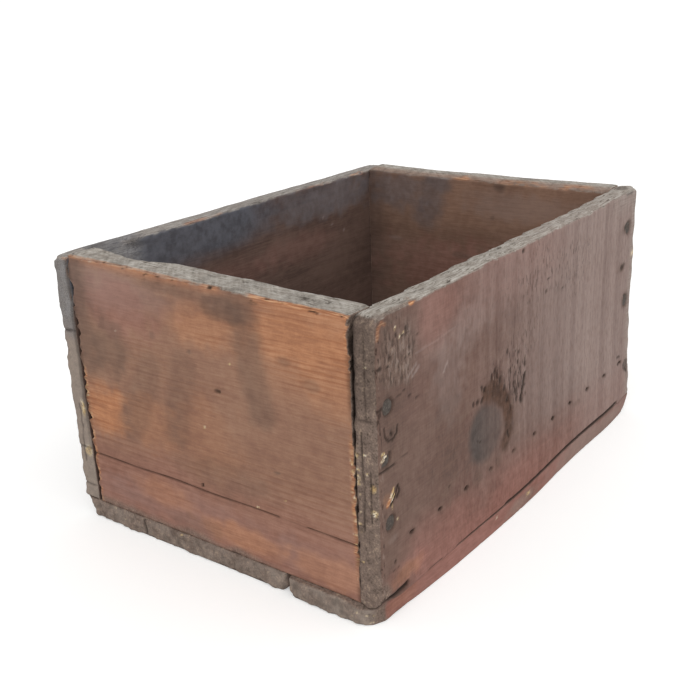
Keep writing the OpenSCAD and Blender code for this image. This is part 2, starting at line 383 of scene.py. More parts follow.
class Shader(Nodes):
    """A material of the object under construction."""

    def __init__(self, name):
        super().__init__(bpy.data.materials.new(name))
        self.place = self.node("ShaderNodeTexCoord").outputs["Object"]

    def times(self, a, b):
        return self.math("MULTIPLY", a, b)

    def mix(self, share, a, b, blend="MIX"):
        inputs = {0: share, 6: a, 7: b}
        return self.node("ShaderNodeMix", inputs, data_type="RGBA", blend_type=blend).outputs[2]

    def noise(self, size, seed=0.0, detail=2.0, vector=None):
        """Noise from 0 to 1, whose bumps are about size millimetres long on each axis."""
        offset, scale = (seed, seed * 1.7, seed * 2.3), [1 / (MM * s) for s in size]
        inputs = {"Vector": vector or self.place, "Location": offset, "Scale": scale}
        place = self.node("ShaderNodeMapping", inputs).outputs[0]
        return self.node("ShaderNodeTexNoise", {"Vector": place, "Scale": 1.0, "Detail": detail}).outputs[0]

    def bent_place(self, size, amount):
        """The place on the object, pushed about by noise of a size by an amount in millimetres."""
        wave = self.noise(size, 9.0, 1.0)
        shift = self.times(self.math("SUBTRACT", wave, 0.5), 2 * amount * MM)
        return self.node("ShaderNodeVectorMath", {0: self.place, 1: shift}, operation="ADD").outputs[0]

    def turned_place(self, angle):
        """The place on the object, turned about Z so that lines at an angle to X lie along X."""
        turn = (0, 0, -math.radians(angle))
        return self.node("ShaderNodeMapping", {"Vector": self.place, "Rotation": turn}).outputs[0]

    def growth(self, length_axis, pith, spacing, vector):
        """How far through a year's growth a place is, from 0 to 1, on rings round a pith along the board."""
        places = self.node("ShaderNodeSeparateXYZ", {0: vector}).outputs
        across = [axis for axis in range(3) if axis != length_axis]
        gaps = [self.math("SUBTRACT", places[axis], middle * MM) for axis, middle in zip(across, pith)]
        reach = self.math("SQRT", self.math("ADD", *[self.times(gap, gap) for gap in gaps]))
        return self.math("FRACT", self.math("DIVIDE", reach, spacing * MM))

    def blend(self, *parts):
        """The sum of (value, weight) parts."""
        total = self.times(*parts[0])
        for part in parts[1:]:
            total = self.math("ADD", total, self.times(*part))
        return total

    def ease(self, value, low, high, to_low=0.0, to_high=1.0):
        """Maps low..high to to_low..to_high, eased at both ends."""
        inputs = {"Value": value, "From Min": low, "From Max": high, "To Min": to_low, "To Max": to_high}
        return self.node("ShaderNodeMapRange", inputs, interpolation_type="SMOOTHSTEP").outputs[0]

    def ramp(self, value, *stops):
        """A colour ramp of (place, colour code) stops."""
        made = self.node("ShaderNodeValToRGB", {0: value})
        elements = made.color_ramp.elements
        while len(elements) < len(stops):
            elements.new(1.0)
        for element, (place, code) in zip(elements, stops):
            element.position = place
            element.color = rgb(code)
        return made.outputs[0]

    def mark(self, name, most=1.0):
        """A board's mark, at a share of its strength."""
        strength = self.node("ShaderNodeAttribute", attribute_name=name).outputs["Fac"]
        return self.times(strength, most)

    def coat(self, colour, name, value, *stops, most=1.0):
        """A colour, and over it a board's mark in a ramp of colours."""
        return self.mix(self.mark(name, most), colour, self.ramp(value, *stops))

    def finish(self, colour, roughness, height, metallic=0.0):
        """Joins the colour, roughness and fine relief in one surface."""
        inputs = {"Strength": RELIEF_STRENGTH, "Distance": RELIEF_DEPTH * MM, "Height": height}
        normal = self.node("ShaderNodeBump", inputs).outputs[0]
        inputs = {"Base Color": colour, "Roughness": roughness, "Metallic": metallic, "Normal": normal}
        surface = self.node("ShaderNodeBsdfPrincipled", {**inputs, "Specular IOR Level": SHEEN})
        self.node("ShaderNodeOutputMaterial", {"Surface": surface.outputs[0]})
        return self.owner


def grain_size(length_axis, along, across):
    """A noise size that is long on the board's length and short on the other axes."""
    return [along if axis == length_axis else across for axis in range(3)]


def wood(name, length_axis, tones, rings, pith, slant, kerf):
    """Old bare wood: fibre, saw marks and growth rings, under the marks that wear has left and the light and
    shade painted on the board.

    rings is the share of growth rings in its look and pith their middle across the board. Where it has
    weathered, a share kerf of the streaks are saw kerfs, at a slant in degrees to X.
    """
    s = Shader(name)
    bent = s.bent_place(grain_size(length_axis, 110, 34), 1.8)
    wide_rings = s.noise(grain_size(length_axis, 2600, 3.6), 1.0, 1.0, bent)
    fibre = s.noise(grain_size(length_axis, 8, 0.7), 2.0, 3.0)
    patches = s.noise(grain_size(length_axis, 46, 26), 3.0, 4.0)
    mottle = s.noise([4, 4, 4], 4.0, 4.0)
    grit = s.noise([0.8, 0.8, 0.8], 8.0, 4.0)
    plain = 1 - rings
    grain = s.blend(
        (wide_rings, 0.16 * rings), (fibre, 0.3), (grit, 0.1),
        (patches, 0.22 + 0.1 * plain), (mottle, 0.22 + 0.06 * plain),
    )
    colour = s.ramp(grain, *zip((0.4, 0.5, 0.6), tones))
    murk = s.blend((mottle, 0.15), (patches, 0.35), (fibre, 0.25), (wide_rings, 0.25))
    stripes = s.noise([2.6, 60, 150], 5.0, 2.0)
    bands = s.noise([8, 60, 300], 5.5, 2.0)
    sawing = s.blend((stripes, 0.4), (bands, 0.6))
    year = s.growth(length_axis, pith, 2.2, s.bent_place(grain_size(length_axis, 220, 6), 2.6))
    late = s.times(s.ease(year, 0.4, 0.85), s.ease(year, 1.0, 0.9))

    sawn = s.ramp(sawing, (0.38, "d6cdc9"), (0.5, "f0ecea"), (0.62, "ffffff"))
    colour = s.mix(s.mark("saw"), colour, s.mix(1.0, colour, sawn, "MULTIPLY"))
    # Dark brown: darker bare wood, and painted shade on the inner faces of the box
    colour = s.coat(colour, "bare", murk, (0.42, "56453e"), (0.58, "6f5a51"))
    colour = s.coat(colour, "pale", sawing, (0.35, "92807a"), (0.65, "aa9992"), most=0.8)
    colour = s.coat(colour, "red", grain, (0.4, "875d52"), (0.6, "a2746a"))
    colour = s.coat(colour, "lit", grain, (0.4, "a87354"), (0.5, "bc8460"), (0.6, "cc946e"))
    dabs = s.noise([1.3, 2.0, 3.6], 13.0, 4.0)
    flecks = s.ramp(dabs, (0.36, "d3c6c0"), (0.47, "f3efed"), (0.56, "ffffff"))
    colour = s.mix(s.mark("saw", 0.38), colour, s.mix(1.0, colour, flecks, "MULTIPLY"))
    stretches = s.noise(grain_size(length_axis, 60, 14), 6.5, 2.0)
    shown = s.ease(stretches, 0.4, 0.66, 0.03 * rings, 0.5 * rings)
    shown = s.times(shown, s.ease(s.mark("lit"), 0.0, 0.6, 0.5, 1.0))
    colour = s.mix(s.times(late, shown), colour, rgb("d0b4a4"), "MULTIPLY")
    streaky = s.ease(s.noise([10, 10, 44], 4.5, 3.0), 0.32, 0.6, 0.78, 1.0)
    # Soot-dark streaks, and painted shade inside the box and at the foot of each saw ridge's step
    soot_and_shade = s.times(s.mark("smoke"), streaky)
    colour = s.mix(soot_and_shade, colour, s.ramp(grain, (0.4, "5b4a42"), (0.6, "725d52")))
    colour = s.coat(colour, "slate", mottle, (0.35, "53565d"), (0.65, "676b74"))
    colour = s.coat(colour, "knot", mottle, (0.35, "4b4441"), (0.65, "59514d"))
    colour = s.coat(colour, "stain", mottle, (0.35, "49362d"), (0.65, "62493d"))

    threads = s.noise(grain_size(length_axis, 9, 0.6), 6.0, 4.0)
    blots = s.noise([6, 6, 6], 7.0, 3.0)
    kerfs = s.noise([15, 1.8, 40], 6.8, 4.0, s.turned_place(slant))
    streaks = s.blend((threads, 0.8 - kerf), (kerfs, kerf), (grit, 0.2))
    grey = s.ramp(streaks, (0.37, "5a534c"), (0.44, "8f887f"), (0.52, "a69f96"), (0.62, "beb8b0"))
    grey = s.mix(s.ease(blots, 0.45, 0.7, 0.0, 0.45), grey, rgb("857a70"))
    colour = s.mix(s.mark("weather"), colour, grey)

    lumps = s.noise([3.0, 3.0, 3.0], 8.5, 3.0)
    speckled = s.blend((grit, 0.55), (lumps, 0.45))
    ends = s.ramp(speckled, (0.34, "51453b"), (0.45, "73635a"), (0.55, "827065"), (0.66, "a08c7a"))
    ends = s.mix(s.ease(blots, 0.45, 0.7, 0.0, 0.4), ends, rgb("685850"))
    ends = s.mix(s.mark("pale", 0.6), ends, rgb("a79b90"))
    colour = s.mix(s.mark("end_grain"), colour, ends)

    colour = s.coat(colour, "raw", threads, (0.36, "8f5a3d"), (0.5, "b97d56"), (0.64, "d8a981"))
    chips = s.times(s.mark("ochre"), s.ease(grit, 0.34, 0.5))
    colour = s.mix(chips, colour, s.ramp(lumps, (0.35, "b7986a"), (0.5, "d3ba8c"), (0.65, "efe4cf")))
    dashes = s.noise([1.1, 1.6, 4.4], 10.0, 3.0)
    torn = s.times(s.mark("torn"), s.ease(dashes, 0.56, 0.63))
    frayed = s.times(s.mark("torn", 0.4), s.ease(dashes, 0.42, 0.34))
    colour = s.mix(frayed, colour, rgb("a59286"))
    # The darkest coat: real dark stains, and painted shade in cracks, holes, chips, torn pits, gaps and
    # seams
    dirt = s.math("MAXIMUM", s.mark("dirt", 0.95), s.times(torn, 0.75))
    colour = s.mix(dirt, colour, rgb("2a211c"))

    rough = s.ease(fibre, 0.3, 0.7, 0.68, 0.86)
    height = s.blend(
        (fibre, 0.4), (s.times(stripes, s.mark("saw")), 0.4), (speckled, s.mark("end_grain", 1.3)),
        (streaks, s.mark("weather", 0.9)), (torn, -0.7),
    )
    return s.finish(colour, rough, height)


def rusty_iron():
    """Dull nail iron with a skin of rust and soil."""
    s = Shader("rusty_iron")
    fine = s.noise([0.9, 0.9, 0.9], 11.0, 4.0)
    broad = s.noise([5, 5, 5], 12.0, 2.0)
    colour = s.ramp(fine, (0.3, "443d39"), (0.5, "57504b"), (0.7, "68615b"))
    colour = s.mix(s.ease(broad, 0.5, 0.68, 0.0, 0.5), colour, rgb("54443a"))
    return s.finish(colour, s.ease(fine, 0.3, 0.7, 0.65, 0.9), fine, metallic=0.15)


# What boards share


def along_edge(value, *stops, soft=0.0):
    """Stretches between listed (place, amount) stops, their bends softened over a length."""
    places, amounts = zip(*stops)
    shifts = soft * np.linspace(-1, 1, 5)
    return sum(np.interp(value + shift, places, amounts) for shift in shifts) / len(shifts)


def front_bow(along):
    """How far the lower front edge of the box has bowed in, or out where it is negative."""
    return along_edge(
        along, (20, 0.0), (60, -0.8), (90, -1.8), (118, -2.4), (140, -2.0), (170, -0.8), (200, -0.8),
        (226, -1.6), (246, 0.0), soft=12,
    )


def weather_top(board, level, seed):
    """Greys the top edge and lets the grey run a little over both arrises."""
    rim = board.layered([8, 8, 3], seed) + 0.6 * board.noise(1.8, seed + 1)
    grey = smooth(0.3, 0.7, board.normals[:, Z] + 0.35 * rim)
    board.mark("weather", level * grey * smooth(TOP - 9, TOP - 6, board.height))


def fray_ends(board, depth, seed):
    """Frays the sawn ends, where the end grain shows, in coarse and fine dents."""
    for sign in (-1, 1):
        end = board.facing(board.length_axis, sign)
        board.mark("end_grain", smooth(0.2, 0.7, end))
        dents = board.layered(8, seed + sign, 3) + 0.5 * board.noise(2.2, seed)
        board.press(end * depth * dents)


def chip_arrises(board, depth, seed):
    """Breaks small chips out of the arrises."""
    chips = smooth(0.2, 0.6, board.layered(6, seed))
    board.press(board.arris * chips * depth)


def pit_top(board, radius, depth, *places):
    """Small holes in the top edge, at (along the box, from the front) places, dark inside with painted
    shade.
    """
    top = board.facing(Z, 1)
    for x, y in places:
        gap = np.hypot(board.x - LEFT - x, board.y - FRONT - y)
        spot = top * smooth(1.5 * radius, 0.6 * radius, gap)
        board.press(depth * spot)
        board.mark("dirt", spot)


def seat_nails(board, node, axis, sign, shown=None):
    """Sinks the board round the nail heads, darkens the sunken ring with painted shade, and stains the wood
    round it.

    Where only some heads show, shown gives their numbers, from the lowest, each with the angle in degrees
    of the side of the head that is bare, or None for a whole head.
    """
    for k, head in enumerate(nail_heads(node, axis, sign)):
        if shown is not None and k not in shown:
            continue
        offset = board.flat - head
        gap = np.linalg.norm(offset, axis=1) + 0.3 * board.noise(2, 71)
        bare = 1.0
        if shown is not None and shown[k] is not None:
            angle = math.radians(shown[k])
            bare = smooth(-1.2, 0.8, offset[:, X] * math.cos(angle) + offset[:, Z] * math.sin(angle))
        board.press(smooth(HEAD_RADIUS + 0.8, HEAD_RADIUS, gap) * bare * 0.9)
        board.mark("dirt", smooth(HEAD_RADIUS + 0.8, HEAD_RADIUS, gap) * bare * 0.55)
        board.mark("smoke", smooth(HEAD_RADIUS + 3.5, HEAD_RADIUS, gap) * 0.3)


# The side boards


def side_board(node, outward, fine_stretches, fine_rows, grey, foot_corner):
    """A worn side board, with what the front and the rear one share.

    outward is the sign of its outer face, grey how far its top edge has weathered, and foot_corner the
    radius of its lower left corner.
    """
    ends = [(LEFT - 1, LEFT + 8, 0.6), (RIGHT - 8, RIGHT + 1, 0.7)]
    rows = [(FOOT, FOOT + 4, 0.6), (TACK_HEIGHT - 2, TACK_HEIGHT + 2, 0.5), (TOP - 5, TOP + 1, 0.55)]
    outer_low, outer_high = (0.3, 0.0) if outward < 0 else (0.0, 0.3)
    stretches = [ends + fine_stretches, [], rows + fine_rows]
    board = Board(node, X, [1.7, 0.75, 0.9], stretches, (0.6, outer_low, 0.0), (0.6, outer_high, 0.7))
    height = board.height
    inner_gap = np.abs(board.y - (board.high[Y] if outward < 0 else board.low[Y]))
    end_gap = board.end_gap(X)
    seam = smooth(6, 2, inner_gap) * smooth(6, 2, end_gap) * smooth(96, 84, height)
    foot = smooth(FOOT + 5, FOOT + 2, height)
    corner = smooth(8, 3, end_gap) * smooth(4, 8, inner_gap)
    worn = 1.4 + 0.4 * board.noise(10, 21) + 0.8 * smooth(TOP - 12, TOP, height) + 1.1 * corner
    board.round_edges(worn * (1 - 0.7 * seam) * (1 - 0.5 * foot))
    board.round_corner((X, Z), (-1, -1), foot_corner)
    board.round_corner((X, Z), (1, -1), 2.0)
    for sign in (-1, 1):
        board.round_corner((X, Z), (sign, 1), 5.0 if outward < 0 else 1.5)
    board.shift(Z, smooth(TOP - 20, TOP, height) * 0.5 * board.layered([24, 60, 400], 22 + outward))
    board.find_normals()
    chip_arrises(board, 0.9, 23)
    fray_ends(board, 0.5, 25)
    weather_top(board, grey, 27)
    inner = Face(board, Y, -outward)
    # Darkens the inner face: partly darker wood, partly painted shade of the box's inside
    inner.mark("bare", 0.85 + 0.25 * board.layered(40, 28))
    return board


def ridge_top(board, run, period, depth):
    """Leaves slanting saw ridges on the top edge, which run along by run for each millimetre across."""
    slant = board.x + run * board.y
    line = np.stack([slant, 0 * slant, 0 * slant], axis=1)
    turns = slant / period + 0.6 * noise(line, [40, 1, 1], 31)
    tooth = turns - np.floor(turns)
    rough = board.layered([6, 1.1, 50], 32)
    top = board.facing(Z, 1)
    board.press(top * (depth * (tooth - 0.5) + 0.1 * rough))
    # Darkens the foot of each ridge's step: painted shade
    board.mark("smoke", top * smooth(0.8, 0.97, tooth) * 0.8)
    board.mark("dirt", top * smooth(0.35, 0.6, rough) * 0.3)
    board.mark("bare", top * smooth(0.1, 0.7, board.layered([14, 6, 50], 34)) * 0.5)


def front_side_board():
    """The side in view, with its knot, brown stain, tack holes, chips and raked right end."""
    near, scratch, knot = (LEFT, LEFT + 26, 0.65), (LEFT + 46, LEFT + 51, 0.8), (LEFT + 69, LEFT + 122, 0.85)
    tacks = [LEFT + TACK_START + k * TACK_PITCH for k in range(TACK_COUNT)]
    columns = [near, scratch, knot] + [(x - 2.2, x + 2.2, 0.7) for x in tacks]
    rows = [(53, 60, 0.5), (74, 78, 0.5), (109.5, 113, 0.5)]
    board = side_board("front_side_board", -1, columns, rows, grey=0.97, foot_corner=1.2)
    height = board.height
    rake = along_edge(
        height, (9, 4.8), (14, 5.4), (24, 4.8), (34, 2.8), (44, 2.0), (64, 0.5), (76, 0.0),
        (94, 0.7), (101, 0.0), soft=3,
    )
    board.shift(X, rake * smooth(RIGHT - 60, RIGHT, board.x))
    board.shift(Z, 1.3 * smooth(RIGHT - 70, RIGHT, board.x) * smooth(TOP - 30, TOP, height))
    ridge_top(board, 2.0, 17.0, 0.8)
    face = Face(board, Y, -1)
    along = face.along
    board.shift(Y, front_bow(along) * smooth(FOOT + 60, FOOT, height))
    front_gap = board.y - FRONT
    far_top = board.facing(Z, 1) * smooth(90, 150, along)
    board.fade("weather", 0.2 * far_top)
    for name in ("bare", "smoke", "dirt"):
        board.fade(name, 0.8 * far_top)
    board.mark("pale", far_top * 0.95)
    disc = np.hypot((along - 242) / 4.0, (front_gap - 4.5) / 3.0)
    board.mark("dirt", board.facing(Z, 1) * smooth(1.2, 0.85, disc) * 0.4)
    gap = 0.3 * smooth(54, 70, along) * smooth(240, 226, along)
    board.shift(Z, gap * smooth(FOOT + 9, FOOT, height) * smooth(6, 2, front_gap))
    board.shift(X, 1.5 * board.layered([9, 9, 7], 39) * smooth(RIGHT - 6, RIGHT, board.x))
    heel = smooth(15, 0, along) * smooth(7, 0, front_gap) * smooth(FOOT + 7, FOOT, height)
    tongue = smooth(4, 0, along) * smooth(0, 3.5, front_gap) * smooth(10, 7, front_gap)
    tongue *= smooth(FOOT + 6, FOOT, height)
    board.shift(Z, 2.0 * heel - 1.9 * tongue)
    # Darkens the downward faces over the gap at the foot: painted shade
    board.mark("dirt", smooth(0.3, 0.8, -board.normals[:, Z]) * smooth(0.1, 0.4, gap))

    face.press(0.05 * board.noise([2.6, 50, 160], 33))
    face.wash("saw", 1.0, along=(20, 70))
    # Lightens the upper front face towards its far right end, seen at a grazing angle: painted sheen
    painted_sheen = smooth(40, 180, along + 30 * board.layered(60, 35))
    face.mark("pale", painted_sheen * smooth(10, 60, height) * 0.84)
    upper = smooth(100, 122, height + 6 * board.layered(20, 36))
    face.mark("pale", upper * smooth(50, 84, along) * 0.6)
    face.wash("pale", 0.85, along=(150, 220), height=(66, 30))
    face.wash("red", 0.2, along=(110, 180), height=(46, 20))
    rounded = smooth(243, 251, along) + 0.6 * smooth(205, 235, along) * smooth(118, 130, height)
    board.mark("weather", (1 - board.facing(X, 1)) * np.clip(rounded, 0, 1) * 0.45)
    face.mark("red", upper * smooth(26, 36, along) * smooth(190, 120, along) * 0.27)
    face.mark("smoke", smooth(34, 6, along + 8 * board.layered(12, 36)) * 0.55)
    low = smooth(TACK_HEIGHT + 10, TACK_HEIGHT - 18, height + 12 * board.layered([46, 46, 20], 37))
    face.mark("red", low * smooth(4, 30, along) * smooth(210, 100, along) * 0.75)
    face.mark("torn", 0.15 + 0.7 * smooth(4, 1, along))
    face.mark_patches(
        red=[(0.25, 42, 121, 16, 12), (1.0, 17, 18.5, 14, 7)],
        pale=[(0.2, 44, 118, 24, 16), (0.3, 20, 20, 9, 5), (0.35, 52, 94, 14, 22), (0.45, 68, 110, 18, 10),
            (0.5, 8, 38.5, 4, 2)],
        lit=[(0.42, 17, 18.5, 11, 5)],
        end_grain=[(0.8, 1, 15, 5, 6)],
        smoke=[(0.38, 38, 62, 30, 28), (0.3, 52, 48, 8, 12), (0.3, 38, 53, 3, 3), (0.5, 75, 36, 4, 4),
            (0.45, 93, 36, 3, 3), (0.5, 106, 52, 10, 14), (0.35, 180, 32, 4, 2), (0.6, 239, 113, 6, 3.5),
            (0.5, 234, 92, 6, 3), (0.6, 242, 72, 5, 5), (0.35, 249, 23, 4, 4)],
        torn=[(0.9, 112, 70, 11, 15), (0.8, 91, 79, 7, 6), (0.5, 118, 88, 20, 9), (0.5, 132, 116, 26, 14),
            (0.45, 172, 108, 20, 14)],
        knot=[(0.9, 241, 131.4, 4.5, 2.2)],
    )
    face.mark_lines(
        stain=[(1.0, 5.0, 0.15, (84, 72.5), (90, 71.5), (96, 68), (101, 63), (104, 56)),
            (0.88, 4.5, 0.1, (104, 55), (104, 48), (100, 42)),
            (0.5, 3.0, 0.1, (88, 77), (93, 78), (97, 73)), (0.9, 5.0, 0.1, (90, 73), (98, 66))],
        pale=[(1.0, 0.6, 0, (47, 95.6), (48.2, 97.6), (50, 99)),
            (0.45, 0.5, -0.1, (26.5, 110.6), (42, 111), (57, 112.4)),
            (0.8, 0.6, -0.1, (21, 103), (27, 106.4)), (0.8, 0.6, -0.1, (23.5, 101.8), (29, 105))],
        # Mostly cracks, gouges and the seam along the foot, pressed in and darkened with painted shade
        dirt=[(0.9, 0.9, 0.4, (120.8, 70), (119.8, 65), (117.6, 60), (116.6, 57.6)),
            (0.9, 0.6, 0.3, (120.2, 78), (120.5, 73.5)),
            (0.8, 0.5, 0.3, (113.6, 71), (112.8, 65), (112.2, 60.5)),
            (0.8, 0.5, 0.3, (109.6, 73), (109.2, 66.5)), (0.7, 0.4, 0.2, (104.6, 85), (105.4, 80)),
            (0.7, 0.4, 0.2, (75, 53.5), (76.5, 52.4), (78.5, 51.6)),
            (0.8, 0.9, 0.3, (103, 47.5), (104, 44)), (0.9, 0.6, 0.4, (0.5, 70.4), (6, 70), (10, 70.4)),
            (0.5, 0.4, 0.2, (10, 70.4), (20, 71.2)), (0.8, 0.8, 0.3, (0, 95.5), (2.8, 96.2)),
            (0.6, 0.4, 0.2, (10.5, 97), (14, 97.4), (19, 98.6)),
            (0.85, 0.6, 0.3, (4, 87.5), (4.4, 84), (6.6, 81.6), (9.6, 81), (12.4, 82.8), (13, 86)),
            (0.9, 0.9, 0.4, (8.2, 84.4), (9.0, 83.6)), (1.0, 0.6, 0.3, (8.4, 57.4), (10.2, 59.6)),
            (1.0, 0.7, 0.3, (7.4, 53.8), (10.8, 57.0), (12.2, 60.4)),
            (0.9, 0.8, 0.3, (12.6, 60), (13.4, 57.5), (11.6, 55.4)),
            (0.6, 0.5, 0.2, (8, 23.6), (10, 23), (12, 23.4)),
            (1.0, 1.4, 1.3, (0, 10.6), (3, 10.7), (8, 11.2), (13, 11.9), (18, 12.2)),
            (0.6, 0.5, 0.3, (34, 9.9), (44, 9.9)), (0.9, 0.7, 0.7, (56, 9.8), (84, 9.8), (108, 9.9)),
            (1.0, 1.3, 0.9, (100, 9.8), (132, 10.0), (160, 10.3), (200, 10.3), (234, 10.4)),
            (0.7, 0.9, 0.3, (233.5, 39.5), (237.5, 38.5))],
        ochre=[(1.0, 0.5, -0.3, (1.8, 77.6), (3.6, 77.5)), (1.0, 0.5, -0.3, (2.0, 76.2), (4.6, 76.0)),
            (0.9, 0.5, -0.2, (1.6, 74.9), (3.4, 74.7)), (1.0, 0.6, -0.3, (6.6, 57.4), (9.2, 60.2)),
            (1.0, 0.5, -0.2, (7.6, 55.4), (9.6, 57.6)), (0.6, 0.5, -0.1, (8.0, 54.2), (8.2, 52.2)),
            (0.8, 0.35, 0, (11.2, 46.2), (12.6, 45.0))],
        raw=[(0.8, 1.0, -0.2, (4.8, 54.6), (7.4, 57.6), (8.6, 59.4)),
            (0.4, 0.9, 0.1, (1.2, 124), (2, 128), (4, 129.6), (6.3, 128.2))],
    )
    face.mark_patches(
        smoke=[(0.85, 5, 72.6, 4.5, 2.6), (0.5, 8.7, 84, 4, 3.5)],
        lit=[(0.4, 4.5, 57, 3, 3)],
    )
    face.chips(
        0.4, (79, 77, 1.0, 1.6), (82, 75.2, 1.4, 1.4), (79.6, 71, 1.6, 1.4), (75.5, 71.6, 1.2, 1.2),
        (72, 72, 0.9, 1.2), (91, 81, 1.4, 1.6), (88, 79, 0.9, 2.6), (96, 75, 1.0, 2.4),
        (100.5, 69.5, 1.3, 2.0), (93, 78, 1.0, 2.2), (105.6, 68.6, 1.0, 2.0), (109.4, 69, 0.8, 2.8),
        (110.4, 64.6, 1.0, 2.4), (112.4, 60, 1.2, 1.6), (114.6, 66, 0.8, 2.2), (117, 58.4, 1.7, 2.8),
        (119.8, 66, 1.4, 3.4), (118.2, 62.4, 1.0, 1.6), (120, 75, 1.0, 2.4), (111, 73, 0.8, 1.6),
        (106, 76, 0.8, 2.2), (115.6, 74, 0.7, 2.4), (103.4, 63, 0.7, 2.0), (106.8, 58, 0.8, 2.2),
        (113, 78, 0.7, 1.6), (114, 82.6, 1.3, 0.6), (110.6, 84.4, 0.8, 0.5), (102.6, 86.5, 0.8, 1.6),
        (141, 104.5, 1.3, 1.1), (159, 101, 1.3, 0.7), (116, 129.6, 1.2, 1.0), (143, 110, 1.6, 0.7),
        (22, 94.6, 1.3, 0.7), (27, 92, 1.0, 0.8), (20, 122.6, 0.7, 1.2), (20.4, 120.4, 1.0, 0.6),
        (17.6, 121, 1.1, 0.6), (9, 114.8, 1.1, 0.7), (13.4, 122, 0.6, 1.0), (7.4, 111.2, 0.8, 0.6),
        (239.5, 113.5, 3.4, 2.2), (236, 92, 3.4, 2.2), (242, 73, 2.0, 2.4), (248, 26, 1.2, 1.4),
        (2, 112, 1.6, 0.9), (22.2, 114.6, 0.9, 1.2), (22, 111.8, 0.8, 0.7), (28.4, 118, 0.7, 0.7),
        (51, 42, 0.6, 0.9),
    )
    reach = np.hypot((along - 82) / 14.5, (height - 55) / 13.8) + 0.08 * board.layered(9, 41)
    face.mark("knot", smooth(1.22, 0.78, reach) * (0.55 + 0.35 * smooth(92, 72, along)))
    board.fade("knot", board.marks["stain"])
    fray = face.patch(14, 114, 13, 14)
    splits = board.layered([1.3, 9, 3.0], 38, 2)
    board.press(0.35 * splits * fray)
    # Darkens the deeper splits: painted shade
    board.mark("dirt", 0.5 * fray * smooth(0.15, 0.4, splits))
    board.mark("end_grain", 0.4 * fray)
    board.mark("torn", 0.7 * fray)
    board.mark("pale", 0.5 * fray * smooth(-0.15, -0.4, splits))
    face.specks("ochre", 0.6, (12.5, 125), (15.5, 121), (18, 121.6))
    for k, x in enumerate(tacks):
        depth = 0.45 if k in FAINT_TACKS else 1.0
        rise = height - TACK_HEIGHT + 0.15 * (board.x - x)
        gap = np.hypot((board.x - x) / 1.9, rise / 0.95) + 0.3 * board.noise(2, 40 + k)
        face.press(smooth(1.15, 0.5, gap) * 2.2 * depth)
        # Darkens inside the tack hole: painted shade
        face.mark("dirt", smooth(1.2, 0.75, gap) * depth)
        face.mark("smoke", smooth(2.8, 1.0, gap) * 0.35)
    face.holes(0.75, 1.2, (9.5, 27.2), (235.5, 34.5))
    seat_nails(board, "front_left_corner_nails", Y, -1, {0: None, 2: -50, 4: None})
    seat_nails(board, "front_right_corner_nails", Y, -1, {0: None, 2: None, 4: None})

    chip = np.hypot((along - 24) / 1.8, (height - 131.6) / 1.1) + 0.5 * board.noise(2, 45)
    board.mark("raw", smooth(1.3, 0.6, chip) * smooth(3, 2, front_gap))
    face.mark("ochre", smooth(6, 3, RIGHT - board.x) * smooth(2, 0.6, np.abs(height - 97)) * 0.8)
    outer_arris = smooth(0.2, 0.6, board.arris) * smooth(4, 2, front_gap) * smooth(125, 130, height)
    board.mark("smoke", outer_arris * smooth(30, 36, along) * smooth(66, 50, along))
    board.mark("end_grain", outer_arris * smooth(32, 24, along) * 0.7)

    end = Face(board, X, -1)
    # Cracks in the end grain, pressed in and darkened with painted shade
    end.mark_lines(
        dirt=[(0.8, 0.4, 0.5, (7.0, 86), (6.6, 60), (6.9, 44)), (0.7, 0.4, 0.4, (3.2, 70), (3.4, 48)),
            (0.6, 0.5, 0.3, (2.5, 91.5), (8, 91)), (0.5, 0.4, 0.3, (4.5, 128), (5, 104), (4.6, 92))],
    )
    end.mark_patches(
        dirt=[(0.3, 5, 118, 9, 22)],
        ochre=[(1.0, 2.2, 63.5, 1.5, 1.6), (1.0, 2.0, 53, 1.6, 1.4)],
    )
    # A dark line at the foot of the end, where it sits on the bottom: painted shade
    end.wash("dirt", 1.0, height=(FOOT + 1.2, FOOT + 0.3))
    # Darkens the inner face by the left end, high up, where it shows through the gap in the seam: painted
    # shade
    seam_shade = smooth(7.5, 10, end.along) * smooth(6, 2, board.x - LEFT) * smooth(80, 96, height)
    board.mark("dirt", seam_shade * 0.9)
    inner_rim = smooth(7.5, 9.4, end.along) * smooth(40, 48, height) * smooth(82, 74, height)
    end.mark("ochre", inner_rim * smooth(0.1, 0.5, board.noise(1.3, 46)))
    end.specks("ochre", 0.5, (4.5, 113), (6, 77), (5, 69), (8, 30))
    material = wood("side_wood_front", X, SIDE_TONES, rings=0.12, pith=(-40, -60), slant=27, kerf=0.12)
    board.build("side_wood", material)


